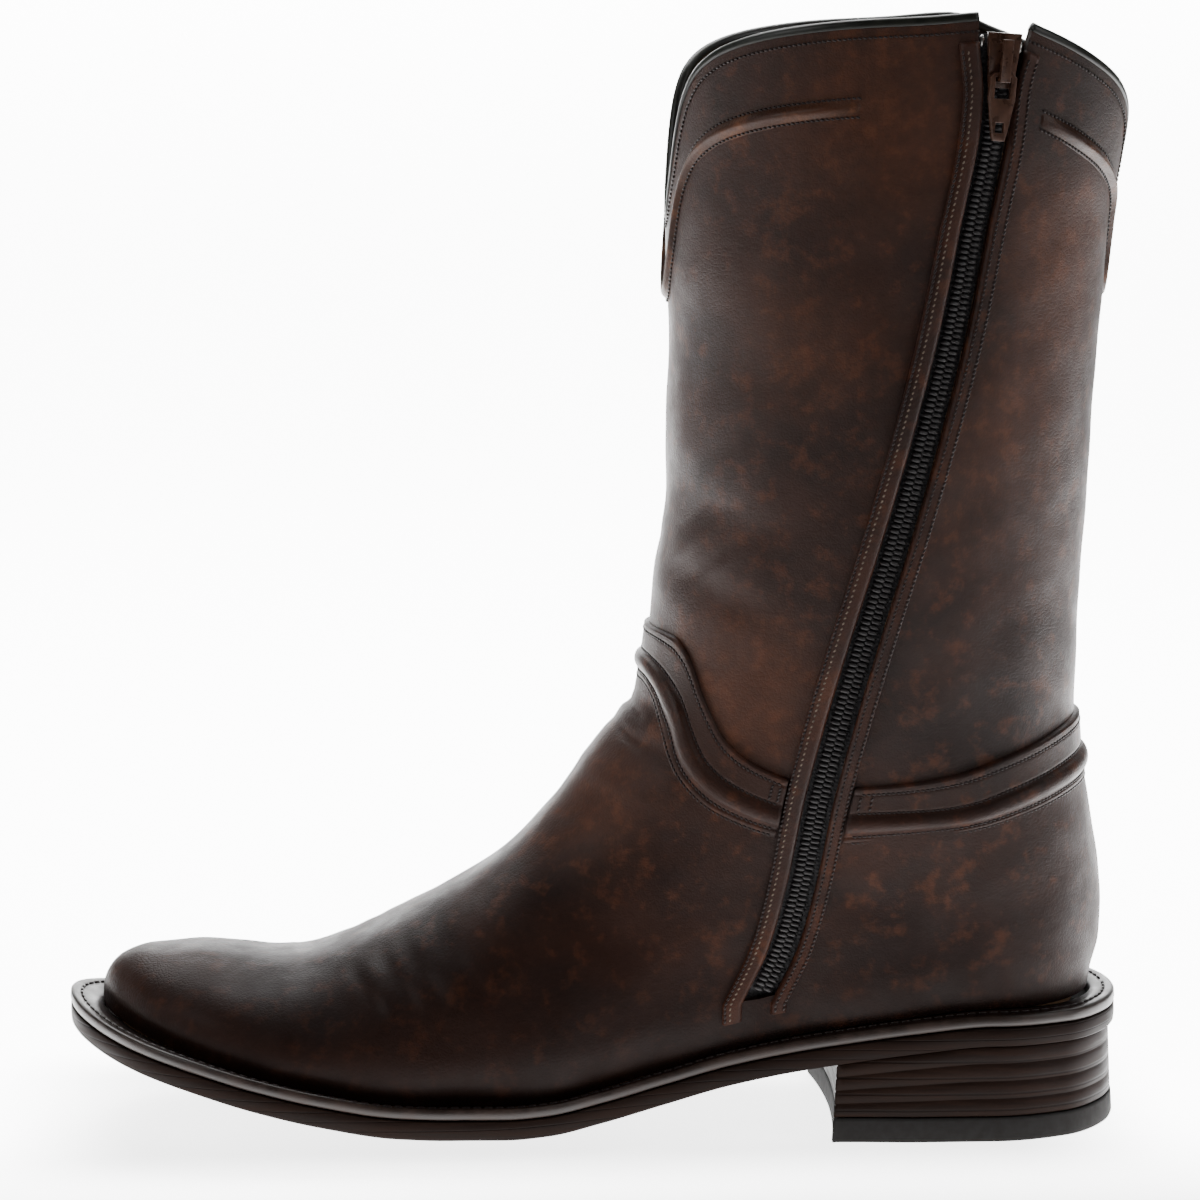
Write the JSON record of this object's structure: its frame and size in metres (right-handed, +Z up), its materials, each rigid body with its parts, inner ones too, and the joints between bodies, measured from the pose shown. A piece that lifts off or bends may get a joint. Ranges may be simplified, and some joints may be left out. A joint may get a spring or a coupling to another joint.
{
  "type": "roper boot",
  "caption": "Dark brown leather roper boot with an inside zip, corded collar lines, a scalloped collar and a stacked heel, for the right foot.",
  "frame": {"origin": "floor level, centre of the heel's rest face", "axes": "+Z up, toe along -X, inner side with the zip towards -Y"},
  "size_m": [0.299, 0.107, 0.3132],
  "materials": {
    "upper_leather": "semi_gloss",
    "band_leather": "semi_gloss",
    "counter_leather": "semi_gloss",
    "bead_leather": "semi_gloss",
    "back_bead_leather": "semi_gloss",
    "facing_leather": "semi_gloss",
    "facing_back_leather": "semi_gloss",
    "seam_leather": "semi_gloss",
    "binding_edge": "gloss",
    "tape_cloth": "matte",
    "coil_nylon": "satin",
    "slider_metal": "satin",
    "pull_metal": "satin",
    "insole_leather": "matte",
    "welt_leather": "satin",
    "outsole_leather": "satin",
    "heel_leather": "satin",
    "lift_rubber": "matte"
  },
  "bodies": {
    "boot": {"upper": "upper_leather", "vamp_band": "band_leather", "counter_band": "counter_leather", "shaft_bead_front": "bead_leather", "shaft_bead_back": "back_bead_leather", "zip_facing_front": "facing_leather", "zip_facing_back": "facing_back_leather", "side_seam": "seam_leather", "collar_binding": "binding_edge", "zip_tape": "tape_cloth", "zip_coil": "coil_nylon", "zip_slider": "slider_metal", "insole": "insole_leather", "welt": "welt_leather", "outsole": "outsole_leather", "heel_stack": "heel_leather", "top_lift": "lift_rubber"},
    "pull_tab": {"zip_pull": "pull_metal"}
  },
  "joints": [
    {"name": "pull_hinge", "type": "hinge", "parent": "boot", "child": "pull_tab", "pos_m": [-0.00239, -0.04913, 0.29652], "axis": [-0.9754, -0.2112, 0.0625], "range_deg": [0, 150]}
  ]
}
